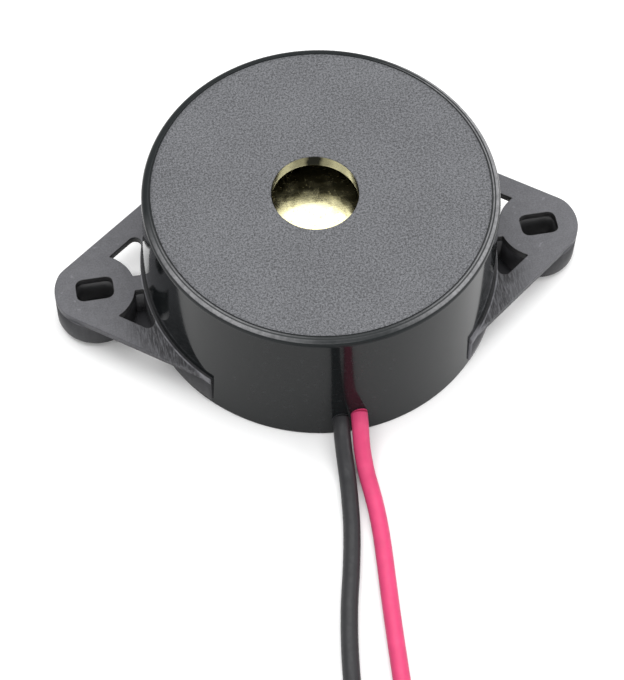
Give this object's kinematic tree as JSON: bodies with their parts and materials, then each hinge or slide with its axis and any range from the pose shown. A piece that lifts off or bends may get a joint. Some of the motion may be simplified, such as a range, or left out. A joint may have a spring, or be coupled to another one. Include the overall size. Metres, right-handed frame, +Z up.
{
  "type": "piezo buzzer",
  "caption": "Round black flanged piezo buzzer with a textured sound face, an offset sound hole over a brass diaphragm, slotted mounting ears and red and black flying leads.",
  "frame": {"origin": "centre of the case's base", "axes": "+Z up along the case's axis and out of the sound face, +X along the line of the two mounting ears, leads leaving towards -Y"},
  "size_m": [0.0354, 0.0562, 0.0108],
  "materials": {
    "case_plastic": "black moulded plastic, glossy side wall, fine-grained sound face, satin ears",
    "brass_plate": "rolled, bright",
    "ceramic": "fired ceramic, matte",
    "silver_film": "printed silver, satin",
    "board_laminate": "paper-phenolic laminate",
    "copper_foil": "etched foil, satin",
    "chip_body": "moulded epoxy",
    "tinned_metal": "tinned, satin",
    "adhesive": "cured silicone adhesive",
    "red_insulation": "soft PVC, satin",
    "black_insulation": "soft PVC, satin",
    "blue_insulation": "soft PVC, satin"
  },
  "bodies": {
    "root": {"housing": "case_plastic", "back_cover": "case_plastic", "diaphragm_plate": "brass_plate", "diaphragm_adhesive": "adhesive", "piezo_ceramic": "ceramic", "main_electrode": "silver_film", "feedback_electrode": "silver_film", "circuit_board": "board_laminate", "board_copper": "copper_foil", "transistor_case": "chip_body", "transistor_legs": "tinned_metal", "base_resistor": "chip_body", "collector_resistor": "chip_body", "feedback_resistor": "chip_body", "protection_diode": "chip_body", "board_solder": "tinned_metal", "diaphragm_solder": "tinned_metal", "plate_wire": "red_insulation", "electrode_wire": "black_insulation", "feedback_wire": "blue_insulation", "lead_glue": "adhesive", "black_lead_sleeve": "black_insulation", "red_lead_sleeve": "red_insulation", "black_lead_core": "tinned_metal", "red_lead_core": "tinned_metal", "black_lead": "black_insulation", "red_lead": "red_insulation", "black_lead_coil": "black_insulation", "red_lead_coil": "red_insulation", "black_lead_end": "tinned_metal", "red_lead_end": "tinned_metal"}
  },
  "joints": []
}
